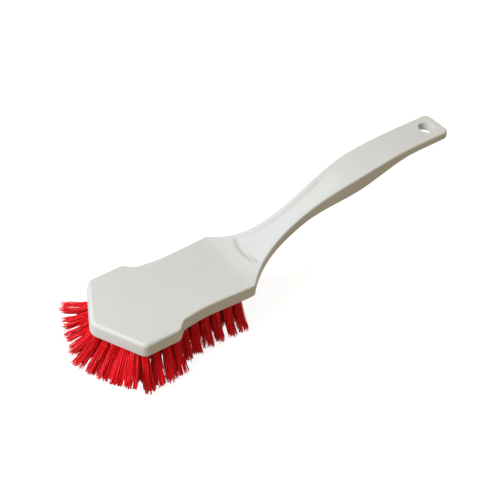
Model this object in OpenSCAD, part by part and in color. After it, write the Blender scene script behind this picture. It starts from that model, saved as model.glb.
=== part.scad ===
/* [Head] */
// Length of the head from the nose to the rear corners
head_l = 100; // [96:0.5:106]
// Width of the head at its widest
head_w = 62.8; // [61:0.2:66]
// Thickness of the head
head_t = 9.5; // [9:0.1:11]
// Distance from the nose to the front corners, where the head is full width
nose_l = 16.9; // [15:0.1:19]
// Distance from the nose to the end of the full width
wide_l = 41; // [40:0.5:43]
// Length of the slanting step behind the full width
step_l = 6.3; // [5.8:0.1:7]
// Width of the head behind the step
step_w = 51.8; // [51:0.2:54]
// Distance from the nose to the waist
waist_x = 64; // [60:0.5:68]
// Width of the head at its waist
waist_w = 48.2; // [47:0.2:50]
// Width of the head at its rear corners
rear_w = 51.8; // [50:0.2:54]
// Length of the chamfer behind each rear corner
shoulder_l = 3; // [2.8:0.1:4]

/* [Corners and edges] */
// Radius of the nose seen from above
nose_r = 8; // [6:0.5:12]
// Radius of the front corners
front_r = 4.5; // [4:0.5:8]
// Radius where the full width ends
wide_r = 4; // [3.5:0.5:6]
// Radius at the foot of the step
foot_r = 6; // [4:0.5:7]
// Radius of the long hollow at the waist
waist_r = 100; // [60:10:100]
// Radius of the rear corners
rear_r = 2.6; // [2.4:0.1:3.5]
// Radius of the corners at the end of the handle
end_r = 4; // [3:0.5:6]
// Rounding of the top edge at the nose
nose_edge_r = 2.4; // [1.6:0.1:3.2]
// Rounding of the top edge elsewhere
top_edge_r = 1.3; // [1:0.1:2]
// Rounding of the lower edge of the head
head_edge_r = 1.2; // [0.8:0.1:1.6]
// Rounding of the lower edge of the handle
under_edge_r = 1.8; // [1.2:0.1:2.4]
// How far each side wall leans out on its way down
draft = 0.4; // [0:0.1:0.6]

/* [Neck] */
// Distance from the rear of the head to the slimmest place of the neck
neck_gap = 45; // [42:1:50]
// Width of the neck there
neck_w = 16; // [15:0.1:18]
// Thickness of the neck there
neck_t = 8.8; // [8:0.1:10]
// Height of its top above the head
neck_rise = 19.3; // [17:0.1:21]
// Slope of the neck there, as rise over run
neck_slope = 0.5; // [0.4:0.01:0.55]
// Distance from the rear of the head to the thinnest place of the neck
thin_gap = 15; // [12:1:18]
// Thickness of the neck at its thinnest place
thin_t = 7.9; // [7.5:0.1:9]

/* [Grip] */
// Length of the moulding from the nose to the end of the handle
handle_l = 272.5; // [268:0.5:280]
// Distance from the widest place of the grip to the end of the handle
grip_back = 72.5; // [68:0.5:76]
// Width of the grip there
grip_w = 23.4; // [22:0.1:25]
// Height of its top above the head there
grip_rise = 37.8; // [36:0.1:40]
// Slope of the grip there, as rise over run
grip_slope = 0.19; // [0.15:0.01:0.22]
// Distance from the finger swell of the underside to the end of the handle
swell_back = 82.5; // [78:0.5:88]
// Thickness of the grip at the finger swell
swell_t = 12.5; // [11:0.1:14]
// Distance from the end of the handle over which the grip is straight
tail_back = 30.5; // [27:0.5:34]
// Width of the straight end
end_w = 22.3; // [21:0.1:23]
// Thickness of the straight end
end_t = 6.2; // [5.8:0.1:7]
// Height of the top of the handle's end above the head
end_rise = 43.5; // [42:0.1:45]
// Slope of the straight end, as rise over run
end_slope = 0.035; // [0.02:0.005:0.05]

/* [Hanging hole] */
// Diameter of the hole through the end of the handle
hang_d = 10.5; // [9:0.1:12]
// Distance from the middle of the hole to the end of the handle
hang_inset = 11.5; // [10:0.1:13]
// Width of the bevel at each mouth of the hole
hang_bevel = 0.6; // [0.4:0.1:1]

/* [Thumb scoop] */
// Distance from the rear of the head to the lip of the scoop
lip_gap = 4.4; // [4:0.1:7]
// Depth of the scoop below the rims beside it
scoop_depth = 1.7; // [1:0.1:2.2]
// Radius of the lip seen from above
lip_r = 21; // [18:1:32]
// Length over which the lip drops to the floor of the scoop
lip_drop = 2.8; // [2:0.1:3]
// Width of the sloping wall between each rim and the floor
scoop_wall = 2.6; // [2.2:0.1:3]
// Width of the flat rim between the edge rounding and the scoop
scoop_rim = 1.4; // [0.8:0.1:1.6]
// Distance from the slimmest place of the neck to where the scoop begins to fade out
fade_gap = 22; // [18:1:26]
// Length over which it fades out
fade_l = 13; // [8:1:16]
// Radius of its rounded end seen from above
fade_r = 6; // [5:0.5:9]

/* [Tufts] */
// Height of the underside of the head above the floor
stand_h = 26.2; // [25:0.1:28]
// Extra length of the bristles, which is cut off flat at the floor
floor_trim = 0.5; // [0.3:0.1:0.8]
// Diameter of each drilled hole
hole_d = 4.6; // [4.5:0.1:4.8]
// Depth of each drilled hole
hole_depth = 7; // [6.5:0.1:7.2]
// Gap round the folded root of a tuft in its hole
root_gap = 0.05; // [0.03:0.01:0.08]
// Length of the tight round bundle outside the hole
collar = 1.2; // [1:0.1:1.6]
// Distance from the edge of the head to the outer row
outer_inset = 5.5; // [5.2:0.1:5.8]
// Distance from one row to the next
row_pitch = 7.5; // [7.2:0.1:7.6]
// Distance from the end of the full width to its last tufts
wide_past = 0.3; // [0:0.1:0.6]
// Distance from the foot of the step to the first tufts of the waist
waist_past = 3.7; // [3:0.1:5]
// Distance from the rearmost tufts to the rear corners of the head
rear_inset = 9; // [8.5:0.5:10]
// Outer tufts on each slant of the nose, between its tip and the front corner
outer_nose_count = 4; // [3:1:4]
// Middle tufts on each slant of the nose
middle_nose_count = 2; // [1:1:2]
// Inner tufts on each slant of the nose
inner_nose_count = 1; // [0:1:1]
// Outer tufts along each side of the full width
outer_wide_count = 3; // [2:1:3]
// Middle and inner tufts along each side of the full width
inner_wide_count = 2; // [1:1:2]
// Tufts along each side of the waist, in every row
waist_count = 6; // [5:1:6]
// Tufts on the centre line behind the nose rows
centre_count = 2; // [1:1:2]
// How far the tips of the nose tufts stand forward of their holes
nose_splay = 16.5; // [14:0.5:17.5]
// How far the outer tips stand out to the side in the nose
fan_splay = 22; // [18:0.5:22.5]
// How far the outer tips stand out to the side elsewhere
side_splay = 9.8; // [8:0.1:11]
// How far the tips of the rearmost tufts stand back
rear_splay = 4; // [2:0.5:5]
// Share of that lean which the drilled holes have
hole_lean = 0.5; // [0.3:0.05:0.6]

/* [Strands] */
// Strands of a tuft round its middle one
ring_strands = 5; // [4:1:5]
// Radius of a strand, from its middle to a corner of its square
strand_r = 0.68; // [0.5:0.02:0.7]
// Radius on which the outer strands stand at their tips
strand_spread = 2.2; // [1.9:0.1:2.2]
// Greatest shortfall of a strand's length
ragged = 1; // [0:0.1:1.6]

/* [Anchors] */
// How far each end of the flat wire bites into the wall of its hole
anchor_bite = 0.4; // [0.2:0.05:0.5]
// Width of the flat wire, along the hole
anchor_w = 1.8; // [1.5:0.1:2]
// Thickness of the flat wire
anchor_t = 0.35; // [0.3:0.05:0.45]
// Room for the fold between the anchor and the bottom of the hole
fold_room = 1.2; // [1:0.1:1.5]
// Gap round an anchor in its slot
anchor_gap = 0.04; // [0.03:0.01:0.06]

/* [Hidden] */
$fn = 48;
white = "#e4e5e0";
red = "#e01428";
wire = "#b9b4a6";
half_w = head_w / 2;
foot_x = wide_l + step_l;
shoulder_x = head_l + shoulder_l;
rise_start = 6;
rise_x = head_l - rise_start;
neck_x = shoulder_x + neck_gap;
thin_x = shoulder_x + thin_gap;
grip_x = handle_l - grip_back;
swell_x = handle_l - swell_back;
tail_x = handle_l - tail_back;
hang_x = handle_l - hang_inset;
lip_x = shoulder_x + lip_gap;
fade_x = neck_x + fade_gap;
shoulder_slope = -0.85;
neck_blend = 20;
top_z = stand_h + head_t;
bristle_l = stand_h + floor_trim;
bundle_r = hole_d / 2 - root_gap;
bundle_skin = 0.06;
strand_ring = bundle_r - strand_r - bundle_skin;
strand_sunk = 0.3;
slip = 1;

// Where the splay changes: depth of the splayed nose, and the strips beside it and behind it
fan_depth = 22;
flank_y = 20;
flank_fade = 8;
rear_fade_x = 60;
rear_fade = 32;

// Turn of the outer strands from tuft to tuft, in degrees per millimetre
strand_turn = 23;

// Spacing of the rings of the moulding along the handle
rise_step = 1.5;
shoulder_step = 1;
lip_step = 0.8;
neck_step = 2.5;
grip_step = 3.5;

// Stations along the moulding: distance from the nose, value, slope
width_line = [[shoulder_x, rear_w / 2 - shoulder_l, shoulder_slope], [neck_x, neck_w / 2, 0],
    [grip_x, grip_w / 2, 0], [tail_x, end_w / 2, 0], [handle_l, end_w / 2, 0]];
rise_line = [[rise_x, 0, 0], [neck_x, neck_rise, neck_slope], [grip_x, grip_rise, grip_slope],
    [tail_x, end_rise - end_slope * tail_back, end_slope], [handle_l, end_rise, end_slope]];
thick_line = [[rise_x, head_t, 0], [thin_x, thin_t, 0], [neck_x, neck_t, 0],
    [swell_x, swell_t, 0], [tail_x, end_t, 0], [handle_l, end_t, 0]];

function ease(t) = let (u = min(max(t, 0), 1)) u * u * (3 - 2 * u);
function unit(v) = v / norm(v);
function between(a, b, t) = a + (b - a) * t;

// Smooth curve through stations, level before the first one
function along(line, x, i = 0) =
    x <= line[0].x ? line[0][1] :
    i == len(line) - 1 ? line[i][1] + line[i][2] * (x - line[i].x) :
    x > line[i + 1].x ? along(line, x, i + 1) :
    let (a = line[i], b = line[i + 1], h = b.x - a.x, t = (x - a.x) / h, s = 1 - t)
    (1 + 2 * t) * s * s * a[1] + t * s * s * h * a[2]
        + t * t * (3 - 2 * t) * b[1] - t * t * s * h * b[2];

function rise_at(x) = top_z + along(rise_line, x);
function under_at(x) = rise_at(x) - along(thick_line, x);
function half_width_at(x) = along(width_line, x);
function flare_at(x) = (half_width_at(x + 0.1) - half_width_at(x - 0.1)) / 0.2;

// Rounded corner at b on the way from a to c, as points with their outward normals
function corner(a, b, c, r, n, from = 0) =
    let (d = unit(b - a), e = unit(c - b), turn = atan2(cross(d, e), d * e),
        fit = min(r, 0.5 * min(norm(b - a), norm(c - b)) / tan(abs(turn) / 2)),
        start = atan2(d.x, -d.y), middle = b + unit(e - d) * fit / cos(turn / 2))
    [for (k = [0 : n]) let (angle = start + turn * between(from, 1, k / n),
        out = [cos(angle), sin(angle)]) [middle - out * fit * sign(turn), out]];

nose = [0, 0];
front = [nose_l, half_w];
wide_end = [wide_l, half_w];
foot = [foot_x, step_w / 2];
waist = [waist_x, waist_w / 2];
rear = [head_l, rear_w / 2];
shoulder = [shoulder_x, rear_w / 2 - shoulder_l];
waist_normal = unit([waist.y - rear.y, rear.x - waist.x]);
lip_start = lip_x - lip_drop;
lip_end = lip_x + lip_drop + pow(half_width_at(lip_x), 2) / (2 * lip_r);
flank_xs = concat(
    [for (x = [shoulder_x : shoulder_step : lip_start - lip_step]) x],
    [for (x = [lip_start : lip_step : lip_end]) x],
    [for (x = [lip_end + lip_step : neck_step : neck_x]) x],
    [for (x = [neck_x + neck_step : grip_step : handle_l - end_r - lip_step]) x]);

// One side of the outline seen from above, from the nose to the end of the handle
outline = concat(
    corner([nose_l, -half_w], nose, front, nose_r, 5, 0.58),
    corner(nose, front, wide_end, front_r, 7),
    corner(front, wide_end, foot, wide_r, 5),
    corner(wide_end, foot, waist, foot_r, 5),
    corner(foot, waist, rear, waist_r, 5),
    [for (x = [rise_x : rise_step : head_l - rear_r / 2]) [[x, waist_at(x)], waist_normal]],
    corner(waist, rear, shoulder, rear_r, 5),
    [for (x = flank_xs) [[x, half_width_at(x)], unit([-flare_at(x), 1])]],
    corner([tail_x, end_w / 2], [handle_l, end_w / 2], [handle_l, 0], end_r, 7));

function top_edge_at(x) = between(nose_edge_r, top_edge_r, ease((x - nose_l) / (wide_l - nose_l)));
function low_edge_at(x) = between(head_edge_r, under_edge_r, ease((x - head_l) / neck_blend));

// Depth of the thumb scoop: s is the distance inwards from the edge rounding
function scoop_at(x, y, s) = scoop_depth * ease((s - scoop_rim) / scoop_wall)
    * ease((x - lip_x - y * y / (2 * lip_r)) / lip_drop)
    * (1 - ease((x + y * y / (2 * fade_r) - fade_x) / fade_l));

// Where the points of a ring stand on the top face, inwards from the edge rounding
scoop_w = scoop_rim + scoop_wall;
insets = [scoop_w, scoop_w - 0.3 * scoop_wall, scoop_w - 0.7 * scoop_wall, scoop_rim, 0];

// Half of one ring round the moulding, from the middle of the top to the middle of the underside
function half_ring(p, out) =
    let (rt = top_edge_at(p.x), rb = low_edge_at(p.x),
        edge = p - out * rt, low = p + out * (draft - rb),
        squeeze = min(1, edge.y / (scoop_w + 0.8)),
        ys = concat([0, (edge.y - scoop_w * squeeze) / 2], [for (s = insets) edge.y - s * squeeze]))
    concat(
        [for (y = ys) [edge.x, y, rise_at(edge.x) - scoop_at(edge.x, y, edge.y - y)]],
        [for (a = [72 : -18 : 0]) let (q = p - out * rt * (1 - cos(a)))
            [q.x, q.y, rise_at(q.x) - rt * (1 - sin(a))]],
        [for (a = [0 : 22.5 : 90]) let (q = p + out * (draft - rb * (1 - cos(a))))
            [q.x, q.y, under_at(q.x) + rb * (1 - sin(a))]],
        [[low.x, 0, under_at(low.x)]]);

// The whole moulding before drilling, as rings joined by triangles, with a flat cap at each end
module moulding() {
    halves = [for (o = outline) half_ring(o[0], o[1])];
    n = len(halves[0]);
    m = 2 * n - 2;
    tops = len(insets) + 1;
    rings = [for (h = halves) concat(h, [for (i = [n - 2 : -1 : 1]) [h[i].x, -h[i].y, h[i].z]])];
    last = m * (len(rings) - 1);
    sides = [for (k = [0 : len(rings) - 2], i = [0 : m - 1])
        let (a = k * m + i, b = k * m + (i + 1) % m)
        each [[a, b, b + m], [a, b + m, a + m]]];
    cap = concat(
        [[for (i = [-tops - 1 : tops + 1]) (i + m) % m]],
        [for (i = [tops + 1 : n - 4]) [i, i + 1, m - i - 1, m - i]],
        [[for (i = [n - 3 : n + 1]) i]]);
    nose_cap = [for (face = cap) [for (i = [len(face) - 1 : -1 : 0]) face[i]]];
    end_cap = [for (face = cap) [for (i = face) last + i]];
    polyhedron([for (ring = rings) each ring], concat(sides, nose_cap, end_cap));
}

// Inward normal of the slanting edge of the nose, and the distance of a point from that edge
slant = unit([half_w, -nose_l]);
function from_slant(x, y) = slant * [x, abs(y)];

// Half width of the head beside the waist
function waist_at(x) = x < waist_x ? between(foot.y, waist.y, (x - foot_x) / (waist_x - foot_x))
    : between(waist.y, rear.y, (x - waist_x) / (head_l - waist_x));

// One side of a row of tufts at the inset d, as [x, y, direction across the row]
function row(d, nose_count, wide_count) =
    let (y = half_w - d, start = [d / slant.x, 0], turn = [(d - slant.y * y) / slant.x, y],
        wide_last = [wide_l + wide_past, y], first = foot_x + waist_past, final = head_l - rear_inset)
    concat(
        [for (k = [1 : 1 : nose_count]) let (p = between(start, turn, k / (nose_count + 1)))
            [p.x, p.y, atan2(slant.y, slant.x)]],
        [[turn.x, turn.y, 90]],
        [for (k = [1 : wide_count]) let (p = between(turn, wide_last, k / wide_count)) [p.x, p.y, 90]],
        [for (k = [0 : waist_count - 1]) let (x = between(first, final, k / (waist_count - 1)))
            [x, waist_at(x) - d, 90]]);

function mirrored(tufts) = [for (t = tufts) [t.x, -t.y, -t.z]];

middle_inset = outer_inset + row_pitch;
inner_inset = middle_inset + row_pitch;
outer_row = row(outer_inset, outer_nose_count, outer_wide_count);
middle_row = row(middle_inset, middle_nose_count, inner_wide_count);
inner_row = row(inner_inset, inner_nose_count, inner_wide_count);
centre_row = [for (k = [0 : centre_count + 2]) [(outer_inset + k * row_pitch) / slant.x, 0, 0]];
rows = [["outer_right", outer_row], ["outer_left", mirrored(outer_row)],
    ["middle_right", middle_row], ["middle_left", mirrored(middle_row)],
    ["inner_right", inner_row], ["inner_left", mirrored(inner_row)], ["centre", centre_row]];
tufts = [for (r = rows) each r[1]];

// How far the tip of a tuft stands from its hole, forward and to the side
function tip_lean(t) =
    let (fan = (1 - ease((from_slant(t.x, t.y) - outer_inset) / fan_depth))
            * (1 - ease((abs(t.y) - flank_y) / flank_fade)))
    [rear_splay * ease((t.x - rear_fade_x) / rear_fade) - nose_splay * fan,
        t.y / (half_w - outer_inset) * between(side_splay, fan_splay, fan)];

// Direction of the hole or the tip of a tuft, for a share of its lean
function aim(t, share) = let (lean = tip_lean(t) * share)
    [lean.x, lean.y, -sqrt(bristle_l * bristle_l - lean * lean)] / bristle_l;

// Four corners of a strand round the point p, square to the direction u
function strand_corners(p, u, spin) =
    let (e = unit(cross([0, 1, 0], u)), f = cross(u, e))
    [for (a = [0, 90, 180, 270]) p + strand_r * (cos(a + spin) * e + sin(a + spin) * f)];
function beside(u, r, angle) =
    let (e = unit(cross([0, 1, 0], u)), f = cross(u, e)) r * (cos(angle) * e + sin(angle) * f);
function cut_at_floor(from, to) = to.z >= 0 ? to : from + (to - from) * from.z / (from.z - to.z);

// The points of strand k of a tuft: four at the root, four at the bend, four at the tip
function strand(t, k) =
    let (mouth = [t.x, t.y, stand_h], hole = aim(t, hole_lean), tip = aim(t, 1), bend = unit(hole + tip),
        chance = rands(0, 1, 2, round(97 * t.x + 31 * t.y + 7 * k)),
        r = k == 0 ? 0 : 1, angle = k * 360 / ring_strands + t.x * strand_turn, spin = 180 * chance[0],
        length = bristle_l - ragged * chance[1],
        root_p = mouth + hole * (collar - strand_sunk) + beside(hole, r * strand_ring, angle),
        bend_p = mouth + bend * bristle_l / 3
            + beside(bend, r * between(strand_ring, strand_spread, 0.4), angle),
        tip_p = mouth + tip * length + beside(tip, r * strand_spread, angle),
        a = strand_corners(root_p, hole, spin), b = strand_corners(bend_p, bend, spin),
        c = strand_corners(tip_p, tip, spin))
    concat(a, b, [for (i = [0 : 3]) cut_at_floor(b[i], c[i])]);

strand_faces = concat([[0, 1, 2], [0, 2, 3], [11, 10, 9], [11, 9, 8]],
    [for (k = [0, 4], i = [0 : 3]) let (j = (i + 1) % 4)
        each [[k + i, k + i + 4, k + j + 4], [k + i, k + j + 4, k + j]]]);

// The model stands with the middle of its bounding box over the origin
reach = min([for (t = tufts, k = [0 : ring_strands], p = strand(t, k)) p.x]);
origin_x = (reach + handle_l) / 2;

// Puts a child into a hole, with z along the hole away from its mouth
module at_hole(t) {
    h = aim(t, hole_lean);
    turn = atan2(-h.y, -h.x);
    translate([t.x, t.y, stand_h]) rotate([0, acos(-h.z), turn]) rotate([0, 0, t.z - turn]) children();
}

module anchor_bar(gap) {
    size = [hole_d + 2 * anchor_bite, anchor_t, anchor_w] + 2 * gap * [1, 1, 1];
    translate([-size.x / 2, -size.y / 2, hole_depth - fold_room - anchor_w - gap]) cube(size);
}

module handle_block() {
    color(white) translate([-origin_x, 0, 0]) difference() {
        moulding();
        for (t = tufts) at_hole(t) {
            translate([0, 0, -collar]) cylinder(d = hole_d, h = hole_depth + collar);
            anchor_bar(anchor_gap);
        }
        translate([hang_x, 0, under_at(hang_x)]) {
            translate([0, 0, -slip]) cylinder(d = hang_d, h = end_t + 2 * slip);
            bevel();
            translate([0, 0, end_t]) mirror([0, 0, 1]) bevel();
        }
    }
}

module bevel() {
    translate([0, 0, -slip])
        cylinder(d1 = hang_d + 2 * (hang_bevel + slip), d2 = hang_d, h = hang_bevel + slip);
}

// The folded root of a tuft, and the strands that it spreads into
module tuft(t) {
    at_hole(t) difference() {
        translate([0, 0, -collar]) cylinder(r = bundle_r, h = hole_depth - root_gap + collar);
        anchor_bar(anchor_gap);
    }
    for (k = [0 : ring_strands]) polyhedron(strand(t, k), strand_faces);
}

module tuft_group(group) {
    color(red) translate([-origin_x, 0, 0]) for (t = group) tuft(t);
}

module anchor_group(group) {
    color(wire) translate([-origin_x, 0, 0]) for (t = group) at_hole(t) anchor_bar(0);
}

// Each row is kept in pairs of neighbouring tufts
function pair(row, k) = [for (i = [2 * k : min(2 * k + 1, len(row) - 1)]) row[i]];
pairs = [for (r = rows, k = [0 : ceil(len(r[1]) / 2) - 1])
    [str("tufts_", r[0], "_", k + 1), pair(r[1], k)]];
anchors = [for (r = rows) [str("anchors_", r[0]), r[1]]];

handle_block();
for (p = pairs) tuft_group(p[1]);
for (a = anchors) anchor_group(a[1]);
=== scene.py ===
import bpy
import math
import random
from mathutils import Matrix, Vector


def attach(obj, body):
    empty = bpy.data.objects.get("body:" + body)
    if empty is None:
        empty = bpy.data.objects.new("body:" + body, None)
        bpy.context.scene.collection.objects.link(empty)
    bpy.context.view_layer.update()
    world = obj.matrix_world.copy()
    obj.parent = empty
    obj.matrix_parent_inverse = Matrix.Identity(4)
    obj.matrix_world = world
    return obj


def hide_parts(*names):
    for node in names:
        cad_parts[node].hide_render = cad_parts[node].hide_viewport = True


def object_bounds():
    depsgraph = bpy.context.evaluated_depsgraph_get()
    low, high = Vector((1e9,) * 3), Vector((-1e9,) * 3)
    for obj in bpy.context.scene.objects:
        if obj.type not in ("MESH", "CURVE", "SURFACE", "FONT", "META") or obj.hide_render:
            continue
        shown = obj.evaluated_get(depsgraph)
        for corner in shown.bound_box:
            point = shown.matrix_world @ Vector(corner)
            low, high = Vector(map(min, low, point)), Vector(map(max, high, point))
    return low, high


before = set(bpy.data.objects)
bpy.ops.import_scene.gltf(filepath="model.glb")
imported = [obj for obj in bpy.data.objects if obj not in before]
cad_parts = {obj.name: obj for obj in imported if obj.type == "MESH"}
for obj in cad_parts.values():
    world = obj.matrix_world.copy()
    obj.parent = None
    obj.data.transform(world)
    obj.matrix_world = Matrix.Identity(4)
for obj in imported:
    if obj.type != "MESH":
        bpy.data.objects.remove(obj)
cadLow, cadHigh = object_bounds()
mm = 0.001  # sizes below are in millimetres unless a comment says otherwise


# small helpers

def selectOnly(piece):
    bpy.ops.object.select_all(action="DESELECT")
    piece.select_set(True)
    bpy.context.view_layer.objects.active = piece


def ease(t):
    u = min(max(t, 0), 1)
    return u * u * (3 - 2 * u)


def between(a, b, t):
    return a + (b - a) * t


# takes the place of a node of the frame, and moves with the body
def handOver(piece, node):
    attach(piece, "root")
    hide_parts(node)


# the outline of the head, with x counted from the nose
head = {
    "halfWidth": 31.4,
    "noseLength": 16.9,
    "wideEnd": 41.0,
    "footX": 47.3,
    "footY": 25.9,
    "waistX": 64.0,
    "waistY": 24.1,
    "rearX": 100.0,
    "rearY": 25.9,
    "underside": 26.2,
    "length": 272.5,
    "draft": 0.4,
}

# where the tufts stand, and how far their tips lean out
tuftPlan = {
    "outerInset": 5.5,
    "rowPitch": 7.5,
    "widePast": 0.3,
    "waistPast": 3.7,
    "rearInset": 9.0,
    "noseCounts": (4, 2, 1),  # of the outer, middle and inner row
    "wideCounts": (3, 2, 2),
    "waistCount": 6,
    "centreCount": 5,
    "perNode": 2,
    "bristleLength": 26.7,
    "noseSplay": 16.5,
    "fanSplay": 22.0,
    "sideSplay": 9.8,
    "rearSplay": 2.8,
    "holeLean": 0.5,  # share of the lean that the hole has
    "fanDepth": 22.0,
    "flankY": 20.0,
    "flankFade": 8.0,
    "rearFadeX": 60.0,
    "rearFade": 32.0,
}

noseX = cadHigh.x / mm - head["length"] - head["draft"]  # the nose in the model's frame
slantLength = math.hypot(head["halfWidth"], head["noseLength"])
slant = (head["halfWidth"] / slantLength, -head["noseLength"] / slantLength)


def waistAt(x):
    if x < head["waistX"]:
        t = (x - head["footX"]) / (head["waistX"] - head["footX"])
        return between(head["footY"], head["waistY"], t)
    t = (x - head["waistX"]) / (head["rearX"] - head["waistX"])
    return between(head["waistY"], head["rearY"], t)


# one side of a row, from the nose to the rear
def tuftRow(index):
    plan = tuftPlan
    inset = plan["outerInset"] + index * plan["rowPitch"]
    y = head["halfWidth"] - inset
    startX = inset / slant[0]
    turnX = (inset - slant[1] * y) / slant[0]
    spots = []
    noseCount = plan["noseCounts"][index]
    for k in range(1, noseCount + 1):
        t = k / (noseCount + 1)
        spots.append((between(startX, turnX, t), y * t))
    wideCount = plan["wideCounts"][index]
    for k in range(wideCount + 1):
        spots.append((between(turnX, head["wideEnd"] + plan["widePast"], k / wideCount), y))
    first = head["footX"] + plan["waistPast"]
    final = head["rearX"] - plan["rearInset"]
    for k in range(plan["waistCount"]):
        x = between(first, final, k / (plan["waistCount"] - 1))
        spots.append((x, waistAt(x) - inset))
    return spots


def tipLean(spot):
    plan = tuftPlan
    x, y = spot
    depth = slant[0] * x + slant[1] * abs(y) - plan["outerInset"]
    flank = ease((abs(y) - plan["flankY"]) / plan["flankFade"])
    fan = (1 - ease(depth / plan["fanDepth"])) * (1 - flank)
    back = plan["rearSplay"] * ease((x - plan["rearFadeX"]) / plan["rearFade"])
    side = y / (head["halfWidth"] - plan["outerInset"])
    return back - plan["noseSplay"] * fan, side * between(plan["sideSplay"], plan["fanSplay"], fan)


def noseward(spot):
    return max(0, -tipLean(spot)[0]) / tuftPlan["noseSplay"]


def aim(spot, share):
    leanX, leanY = tipLean(spot)
    length = tuftPlan["bristleLength"]
    x, y = leanX * share / length, leanY * share / length
    return Vector((x, y, -math.sqrt(1 - x * x - y * y)))


def sideways(direction):
    across = Vector((0, 1, 0)).cross(direction).normalized()
    return across, direction.cross(across)


# the red filaments
filament = {
    "count": 96,
    "radius": 0.23,
    "mouthRadius": 2.06,  # how far the filaments stand from the middle of the hole
    "tipRadius": 4.0,
    "turnStep": 2.39996,  # radians from one filament to the next, a sunflower pattern
    "sunk": 2.4,  # how far inside the hole they begin
    "points": 7,
    "flareRange": (0.85, 1.12),
    "fanFlare": 0.04,  # how much fuller the tufts round the nose are
    "flarePower": 1.15,  # a lower power spreads a tuft nearer to the head
    "fanPower": 0.35,  # how much lower it is at the nose
    "ragged": 4.6,
    "raggedPower": 1.7,
    "leanTrim": 1.2,  # how much shorter a widely splayed tuft is cut
    "leanFull": 0.4,
    "stray": 0.65,
    "strayLimit": 1.8,
    "curl": 0.55,
    "curlFrom": 0.2,  # share of the length that stays straight
    "clumps": 3,  # the tips of a tuft draw together into a few points
    "clumpTurn": 0.2,
    "clumpReach": (0.5, 0.85),
    "clumpPull": 0.42,
    "tuftShift": 0.9,
    "tuftTone": 0.12,
    "strandTone": 0.15,
    "floorGap": 0.3,  # of the radius
    "seed": 41,
}


def clumpCentres(chance):
    f = filament
    turn = chance.uniform(0, math.tau)
    centres = []
    for k in range(f["clumps"]):
        stray = chance.uniform(-f["clumpTurn"], f["clumpTurn"])
        angle = turn + math.tau * (k + stray) / f["clumps"]
        reach = f["tipRadius"] * chance.uniform(*f["clumpReach"])
        centres.append((reach * math.cos(angle), reach * math.sin(angle)))
    return centres


def tipPlace(radius, angle, tuft):
    f = filament
    reach = radius * f["tipRadius"] * tuft["flare"]
    x, y = reach * math.cos(angle), reach * math.sin(angle)
    nearest = min(tuft["centres"], key=lambda c: math.hypot(c[0] - x, c[1] - y))
    return between(x, nearest[0], f["clumpPull"]), between(y, nearest[1], f["clumpPull"])


def strayStep(chance):
    limit = filament["strayLimit"]
    return filament["stray"] * max(-limit, min(limit, chance.gauss(0, 1)))


def filamentPath(spot, radius, angle, tuft, chance):
    f = filament
    hole = aim(spot, tuftPlan["holeLean"])
    tip = aim(spot, 1)
    length = tuftPlan["bristleLength"] - f["leanTrim"] * (1 + tip.z) / f["leanFull"]
    length -= f["ragged"] * chance.random() ** f["raggedPower"]
    mouth = Vector((spot[0] + noseX, spot[1], head["underside"]))
    startX = radius * f["mouthRadius"] * math.cos(angle)
    startY = radius * f["mouthRadius"] * math.sin(angle)
    endX, endY = tipPlace(radius, angle, tuft)
    endX += tuft["shift"][0] + strayStep(chance)
    endY += tuft["shift"][1] + strayStep(chance)
    swing = chance.uniform(0, math.tau)
    curl = f["curl"] * chance.random()
    power = f["flarePower"] - f["fanPower"] * tuft["nose"]
    points = []
    for k in range(f["points"]):
        t = k / (f["points"] - 1)
        direction = (hole * (1 - t) + tip * t).normalized()
        # halfway between a straight run along the hole and one towards the tip
        run = (hole * (t * (1 - t)) + tip * (t * t)) * length
        middle = mouth + hole * (-f["sunk"] * (1 - t)) + run
        across, along = sideways(direction)
        share = t ** power
        offset = across * between(startX, endX, share) + along * between(startY, endY, share)
        wave = across * math.cos(swing) + along * math.sin(swing)
        bow = curl * math.sin(math.pi * t) if t > f["curlFrom"] else 0
        points.append(middle + offset + wave * bow)
    lowest = f["radius"] * f["floorGap"]
    if points[-1].z < lowest:  # the trimmed ones end flat on the floor
        share = (points[-2].z - lowest) / (points[-2].z - points[-1].z)
        points[-1] = points[-2] + (points[-1] - points[-2]) * share
    return points


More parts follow.
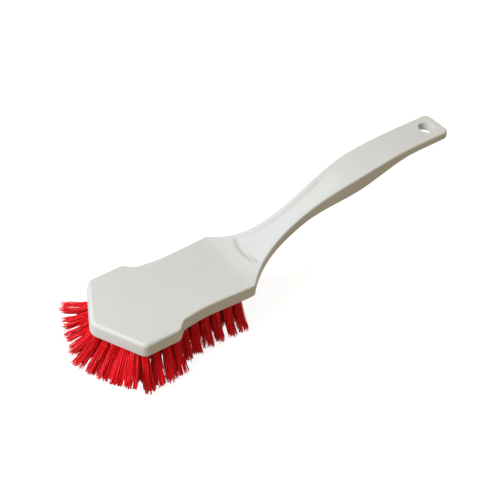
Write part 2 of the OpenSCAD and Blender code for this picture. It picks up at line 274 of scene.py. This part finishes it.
def buildTufts(name, spots, node, material, chance):
    f = filament
    curve = bpy.data.curves.new(name, "CURVE")
    curve.dimensions = "3D"
    curve.fill_mode = "FULL"
    curve.bevel_depth = f["radius"] * mm
    curve.bevel_resolution = 0
    curve.use_fill_caps = True
    tones = []
    for spot in spots:
        tuftTone = chance.uniform(-f["tuftTone"], f["tuftTone"])
        turn = chance.uniform(0, math.tau)
        shift = f["tuftShift"] * chance.random()
        nose = noseward(spot)
        tuft = {
            "flare": chance.uniform(*f["flareRange"]) * (1 + f["fanFlare"] * nose),
            "shift": (shift * math.cos(turn), shift * math.sin(turn)),
            "centres": clumpCentres(chance),
            "nose": nose,
        }
        for k in range(f["count"]):
            radius = math.sqrt((k + 0.5) / f["count"])
            path = filamentPath(spot, radius, k * f["turnStep"] + spot[0], tuft, chance)
            spline = curve.splines.new("POLY")
            spline.points.add(len(path) - 1)
            for point, place in zip(spline.points, path):
                point.co = (place.x * mm, place.y * mm, place.z * mm, 1)
            tones.append(min(max(0.5 + tuftTone + chance.gauss(0, f["strandTone"]), 0), 1))
    tufts = bpy.data.objects.new(name, curve)
    bpy.context.scene.collection.objects.link(tufts)
    selectOnly(tufts)
    bpy.ops.object.convert(target="MESH")
    tufts = bpy.context.object
    bpy.ops.object.shade_smooth()

    # each vertex keeps its filament's tone and how far along the filament it is
    mesh = tufts.data
    perStrand = len(mesh.vertices) // len(tones)
    perRing = perStrand // f["points"]
    tone = mesh.attributes.new("strandTone", "FLOAT", "POINT")
    along = mesh.attributes.new("strandLength", "FLOAT", "POINT")
    for k in range(len(mesh.vertices)):
        tone.data[k].value = tones[k // perStrand]
        along.data[k].value = (k % perStrand) // perRing / (f["points"] - 1)
    mesh.materials.clear()
    mesh.materials.append(material)
    handOver(tufts, node)


def buildAllTufts(material):
    plan = tuftPlan
    sides = []
    for index, name in enumerate(("outer", "middle", "inner")):
        spots = tuftRow(index)
        sides.append((name + "_right", spots))
        sides.append((name + "_left", [(x, -y) for x, y in spots]))
    pitch = plan["rowPitch"] / slant[0]
    first = plan["outerInset"] / slant[0]
    sides.append(("centre", [(first + k * pitch, 0) for k in range(plan["centreCount"])]))
    chance = random.Random(filament["seed"])
    total = 0
    for side, spots in sides:
        for number, k in enumerate(range(0, len(spots), plan["perNode"]), 1):
            some = spots[k:k + plan["perNode"]]
            label = side + "_" + str(number)
            buildTufts("bristles_" + label, some, "tufts_" + label, material, chance)
            total += len(some)
    print("tufts:", total, "filaments:", total * filament["count"])


# the white moulding
body = {
    "mergeGap": 0.01,
    "smoothAngle": 36,  # in degrees
    "scoopFrom": 99.0,  # the scoop's part of the handle, counted from the nose
    "scoopTo": 190.0,
    "lipTo": 117.0,
    "lipMargin": 2.4,  # what stays untouched beside the outline, up to the end of the lip
    "scoopMargin": 4.0,  # and behind it
    "scoopUp": 0.5,
    "slice": 3.0,
    "relax": 0.5,
    "relaxTimes": 1,
}


# the scoop's upper surface, without the rounded edges beside it
def selectScoop(mesh):
    b = body
    widest = {}
    for vertex in mesh.vertices:
        part = round(vertex.co.x / mm / b["slice"])
        widest[part] = max(widest.get(part, 0), abs(vertex.co.y) / mm)
    for vertex in mesh.vertices:
        x = vertex.co.x / mm
        margin = b["lipMargin"] if x - noseX < b["lipTo"] else b["scoopMargin"]
        edge = widest[round(x / b["slice"])] - margin
        within = b["scoopFrom"] < x - noseX < b["scoopTo"] and abs(vertex.co.y) / mm < edge
        vertex.select = within and vertex.normal.z > b["scoopUp"]


def buildBody(material):
    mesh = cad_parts["handle_block"].data.copy()
    block = bpy.data.objects.new("handle_and_head", mesh)
    bpy.context.scene.collection.objects.link(block)
    selectOnly(block)
    bpy.ops.object.mode_set(mode="EDIT")
    bpy.ops.mesh.select_all(action="SELECT")
    bpy.ops.mesh.remove_doubles(threshold=body["mergeGap"] * mm)
    bpy.ops.mesh.select_all(action="DESELECT")
    bpy.ops.object.mode_set(mode="OBJECT")
    selectScoop(mesh)
    bpy.ops.object.mode_set(mode="EDIT")
    bpy.ops.mesh.vertices_smooth(factor=body["relax"], repeat=body["relaxTimes"])
    bpy.ops.object.mode_set(mode="OBJECT")
    bpy.ops.object.shade_smooth_by_angle(angle=math.radians(body["smoothAngle"]))
    weighted = block.modifiers.new("evenNormals", "WEIGHTED_NORMAL")
    weighted.mode = "FACE_AREA_WITH_ANGLE"
    weighted.keep_sharp = True
    bpy.ops.object.modifier_apply(modifier=weighted.name)
    block.data.materials.clear()
    block.data.materials.append(material)
    handOver(block, "handle_block")
    print("moulding:", len(block.data.polygons), "faces")


# materials

def newMaterial(name):
    material = bpy.data.materials.new(name)
    material.use_nodes = True
    nodes = material.node_tree.nodes
    return material, nodes, material.node_tree.links, nodes["Principled BSDF"]


def addNode(nodes, kind, **settings):
    made = nodes.new(kind)
    for key, value in settings.items():
        setattr(made, key, value)
    return made


def mathNode(nodes, links, operation, a, b):
    made = addNode(nodes, "ShaderNodeMath", operation=operation)
    for socket, value in zip(made.inputs, (a, b)):
        if isinstance(value, (int, float)):
            socket.default_value = value
        else:
            links.new(value, socket)
    return made.outputs["Value"]


def colourMix(nodes, links, share, a, b):
    made = addNode(nodes, "ShaderNodeMix", data_type="RGBA")
    links.new(share, made.inputs["Factor"])
    for name, value in (("A", a), ("B", b)):
        if isinstance(value, tuple):
            made.inputs[name].default_value = (*value, 1)
        else:
            links.new(value, made.inputs[name])
    return made.outputs["Result"]


def ramp(nodes, links, source, stops):
    made = nodes.new("ShaderNodeValToRGB")
    elements = made.color_ramp.elements
    while len(elements) < len(stops):
        elements.new(0.5)
    for element, (position, colour) in zip(elements, stops):
        element.position = position
        element.color = (*colour, 1)
    links.new(source, made.inputs["Fac"])
    return made.outputs["Color"]


# the noises seldom leave the range from 0.35 to 0.65
def spread(nodes, links, source, low, high, fromLow=0.35, fromHigh=0.65):
    span = nodes.new("ShaderNodeMapRange")
    span.inputs["From Min"].default_value = fromLow
    span.inputs["From Max"].default_value = fromHigh
    span.inputs["To Min"].default_value = low
    span.inputs["To Max"].default_value = high
    links.new(source, span.inputs["Value"])
    return span.outputs["Result"]


# fine grain and slow cloudiness of a moulded or drawn surface, used by every material
surfaceGrain = (
    ("Fine Scale", 2000, "Grain", 3),  # input, its usual value, output, detail
    ("Broad Scale", 30, "Cloud", 4),
)


def makeGrainGroup():
    group = bpy.data.node_groups.new("surfaceGrain", "ShaderNodeTree")
    sockets = group.interface
    sockets.new_socket("Vector", in_out="INPUT", socket_type="NodeSocketVector")
    for scale, usual, output, detail in surfaceGrain:
        given = sockets.new_socket(scale, in_out="INPUT", socket_type="NodeSocketFloat")
        given.default_value = usual
        sockets.new_socket(output, in_out="OUTPUT", socket_type="NodeSocketFloat")
    nodes, links = group.nodes, group.links
    start = nodes.new("NodeGroupInput")
    end = nodes.new("NodeGroupOutput")
    for scale, usual, output, detail in surfaceGrain:
        noise = nodes.new("ShaderNodeTexNoise")
        noise.inputs["Detail"].default_value = detail
        links.new(start.outputs["Vector"], noise.inputs["Vector"])
        links.new(start.outputs[scale], noise.inputs["Scale"])
        links.new(noise.outputs["Fac"], end.inputs[output])
    return group


def placeGrain(nodes, links, group, stretch, fine, broad):
    place = nodes.new("ShaderNodeTexCoord")
    mapping = nodes.new("ShaderNodeMapping")
    mapping.inputs["Scale"].default_value = stretch
    grain = addNode(nodes, "ShaderNodeGroup", node_tree=group)
    grain.inputs["Fine Scale"].default_value = fine
    grain.inputs["Broad Scale"].default_value = broad
    links.new(place.outputs["Object"], mapping.inputs["Vector"])
    links.new(mapping.outputs["Vector"], grain.inputs["Vector"])
    return grain


whitePlastic = {
    "light": (0.705, 0.706, 0.684),
    "dark": (0.668, 0.670, 0.650),
    "cloudRange": (0.32, 0.68),
    "roughness": (0.44, 0.54),
    "ior": 1.47,
    "grain": ((1, 1, 1), 1500, 22),  # stretch, fine scale, broad scale
    "gripGrain": ((4, 0.5, 4), 420, 60),
    "grainDepth": 0.00002,  # in metres
    "grainStrength": 0.35,
    "gripStart": 0.052,  # where the grip's matt grain begins, in metres along the handle
    "gripFull": 0.072,
    "gripMatt": 0.07,
}


def makeWhitePlastic(group):
    w = whitePlastic
    material, nodes, links, shader = newMaterial("whitePlastic")
    grain = placeGrain(nodes, links, group, *w["grain"])
    stops = list(zip(w["cloudRange"], (w["dark"], w["light"])))
    colour = ramp(nodes, links, grain.outputs["Cloud"], stops)
    links.new(colour, shader.inputs["Base Color"])

    # the grip has a matt grain that runs across it
    across = placeGrain(nodes, links, group, *w["gripGrain"])
    place = nodes.new("ShaderNodeTexCoord")
    split = nodes.new("ShaderNodeSeparateXYZ")
    links.new(place.outputs["Object"], split.inputs["Vector"])
    onGrip = spread(nodes, links, split.outputs["X"], 0, 1, w["gripStart"], w["gripFull"])
    streaks = mathNode(nodes, links, "MULTIPLY", across.outputs["Grain"], onGrip)
    height = mathNode(nodes, links, "ADD", grain.outputs["Grain"], streaks)
    bump = nodes.new("ShaderNodeBump")
    bump.inputs["Distance"].default_value = w["grainDepth"]
    bump.inputs["Strength"].default_value = w["grainStrength"]
    links.new(height, bump.inputs["Height"])
    links.new(bump.outputs["Normal"], shader.inputs["Normal"])

    rough = spread(nodes, links, grain.outputs["Cloud"], *w["roughness"])
    matt = mathNode(nodes, links, "MULTIPLY", onGrip, w["gripMatt"])
    links.new(mathNode(nodes, links, "ADD", rough, matt), shader.inputs["Roughness"])
    shader.inputs["IOR"].default_value = w["ior"]
    return material


redFilament = {
    "deep": (0.84, 0.004, 0.010),
    "middle": (0.98, 0.006, 0.015),
    "bright": (1.0, 0.012, 0.028),
    "toneStops": (0.1, 0.5, 0.9),
    # painted light: a paler, pinker colour for the filament ends, standing in for light through
    # the translucent tips
    "tip": (0.97, 0.16, 0.18),
    "tipStart": 0.86,
    "tipPaintedLight": 0.75,
    "roughness": (0.32, 0.46),
    "grain": ((1, 1, 0.1), 2600, 90),
    "specular": 0.22,
    "subsurface": 0.15,
    "subsurfaceRadius": (1, 0.15, 0.12),
    "subsurfaceScale": 0.0005,  # in metres
}


def makeRedFilament(group):
    r = redFilament
    material, nodes, links, shader = newMaterial("redFilament")
    tone = addNode(nodes, "ShaderNodeAttribute", attribute_name="strandTone").outputs["Fac"]
    along = addNode(nodes, "ShaderNodeAttribute", attribute_name="strandLength").outputs["Fac"]
    stops = list(zip(r["toneStops"], (r["deep"], r["middle"], r["bright"])))
    colour = ramp(nodes, links, tone, stops)

    # painted light: the filament ends are painted paler and pinker, standing in for light shining
    # through their translucent tips
    paintedTipLight = spread(nodes, links, along, 0, r["tipPaintedLight"], r["tipStart"], 1)
    share = mathNode(nodes, links, "MULTIPLY", paintedTipLight, tone)
    links.new(colourMix(nodes, links, share, colour, r["tip"]), shader.inputs["Base Color"])

    grain = placeGrain(nodes, links, group, *r["grain"])
    rough = spread(nodes, links, grain.outputs["Grain"], *r["roughness"])
    links.new(rough, shader.inputs["Roughness"])
    shader.inputs["Specular IOR Level"].default_value = r["specular"]
    shader.inputs["Subsurface Weight"].default_value = r["subsurface"]
    shader.inputs["Subsurface Radius"].default_value = r["subsurfaceRadius"]
    shader.inputs["Subsurface Scale"].default_value = r["subsurfaceScale"]
    return material


anchorWire = {
    "light": (0.66, 0.62, 0.54),
    "dark": (0.48, 0.45, 0.39),
    "cloudRange": (0.3, 0.7),
    "roughness": (0.26, 0.44),
    "grain": ((0.2, 1, 1), 3000, 200),
}


def makeAnchorWire(group):
    a = anchorWire
    material, nodes, links, shader = newMaterial("anchorWire")
    grain = placeGrain(nodes, links, group, *a["grain"])
    stops = list(zip(a["cloudRange"], (a["dark"], a["light"])))
    colour = ramp(nodes, links, grain.outputs["Cloud"], stops)
    links.new(colour, shader.inputs["Base Color"])
    rough = spread(nodes, links, grain.outputs["Grain"], *a["roughness"])
    links.new(rough, shader.inputs["Roughness"])
    shader.inputs["Metallic"].default_value = 1
    return material


# the anchors have no dressed piece of their own, so the frame's nodes get the material
def dressAnchors(material):
    for name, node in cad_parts.items():
        if name.startswith("anchors_"):
            node.data.materials.clear()
            node.data.materials.append(material)


# floor, world and lamps, in metres
studio = {
    "floorSize": 6.0,
    "floorColour": (0.37, 0.32, 0.25),
    "floorRoughness": 0.9,
    "floorGlow": 0.92,
    "floorGlowColour": (0.955, 0.975, 1.0),
    "fill": (0.325, 0.245, 0.13),
    "backdrop": (1.0, 1.0, 1.0),
    "keyFrom": (-0.71, 0.16, 0.69),
    "keyDistance": 1.8,
    "keySize": 0.9,
    "keyPower": 33,
    "keyColour": (0.78, 0.885, 1.0),
    "topFrom": (-0.05, 0.1, 1.0),
    "topDistance": 1.6,
    "topSize": 1.2,
    "topPower": 1.8,
    "topColour": (0.90, 0.93, 1.0),
}


# 1 for what the camera sees, also in a reflection or through something clear
def seenRay(nodes, links):
    rays = nodes.new("ShaderNodeLightPath").outputs
    seen = mathNode(nodes, links, "ADD", rays["Is Camera Ray"], rays["Is Glossy Ray"])
    return mathNode(nodes, links, "ADD", seen, rays["Is Transmission Ray"])


def buildFloor():
    s = studio
    bpy.ops.object.select_all(action="DESELECT")
    bpy.ops.mesh.primitive_plane_add(size=s["floorSize"], location=(0, 0, 0))
    floor = bpy.context.object
    floor.name = "studioFloor"
    material, nodes, links, shader = newMaterial("floorWhite")
    shader.inputs["Base Color"].default_value = (*s["floorColour"], 1)
    shader.inputs["Roughness"].default_value = s["floorRoughness"]
    shader.inputs["Specular IOR Level"].default_value = 0
    shader.inputs["Emission Color"].default_value = (*s["floorGlowColour"], 1)
    glow = mathNode(nodes, links, "MULTIPLY", seenRay(nodes, links), s["floorGlow"])
    links.new(glow, shader.inputs["Emission Strength"])
    floor.data.materials.append(material)


def buildWorld():
    world = bpy.data.worlds.new("studioWorld")
    bpy.context.scene.world = world
    world.use_nodes = True
    nodes, links = world.node_tree.nodes, world.node_tree.links
    seen = seenRay(nodes, links)
    colour = colourMix(nodes, links, seen, studio["fill"], studio["backdrop"])
    links.new(colour, nodes["Background"].inputs["Color"])


def buildLamps():
    s = studio
    for kind in ("key", "top"):
        bpy.ops.object.light_add(type="AREA")
        lamp = bpy.context.object
        lamp.name = kind + "Lamp"
        lamp.data.shape = "DISK"
        lamp.data.size = s[kind + "Size"]
        lamp.data.energy = s[kind + "Power"]
        lamp.data.color = s[kind + "Colour"]
        toLamp = Vector(s[kind + "From"]).normalized()
        lamp.location = (cadLow + cadHigh) / 2 + toLamp * s[kind + "Distance"]
        lamp.rotation_euler = toLamp.to_track_quat("Z", "Y").to_euler()


# the photograph's viewpoint, with angles in degrees
view = {
    "azimuth": -43.717,
    "elevation": 42.312,
    "roll": 8.357,
    "distance": 563.06,
    "target": (-44.6, -31.17, 76.01),
    "lens": 71.5,
    "sensor": 36,
    "clipStart": 10,
}


def placeCamera():
    a, e, r = (math.radians(view[key]) for key in ("azimuth", "elevation", "roll"))
    back = Vector((math.sin(a) * math.cos(e), -math.cos(a) * math.cos(e), math.sin(e)))
    level = Vector((math.cos(a), math.sin(a), 0))
    upright = back.cross(level)
    right = level * math.cos(r) + upright * math.sin(r)
    up = back.cross(right)
    data = bpy.data.cameras.new("photoCamera")
    data.lens = view["lens"]
    data.sensor_width = view["sensor"]
    data.clip_start = view["clipStart"] * mm
    camera = bpy.data.objects.new("photoCamera", data)
    bpy.context.scene.collection.objects.link(camera)
    place = (Vector(view["target"]) + back * view["distance"]) * mm
    turn = Matrix((right, up, back)).transposed().to_4x4()
    camera.matrix_world = Matrix.Translation(place) @ turn
    bpy.context.scene.camera = camera


placeCamera()
print("camera placed")
grainGroup = makeGrainGroup()
buildBody(makeWhitePlastic(grainGroup))
buildAllTufts(makeRedFilament(grainGroup))
dressAnchors(makeAnchorWire(grainGroup))
print("materials placed")
buildFloor()
buildWorld()
buildLamps()
bpy.context.scene.view_settings.view_transform = "Standard"
print("studio built")
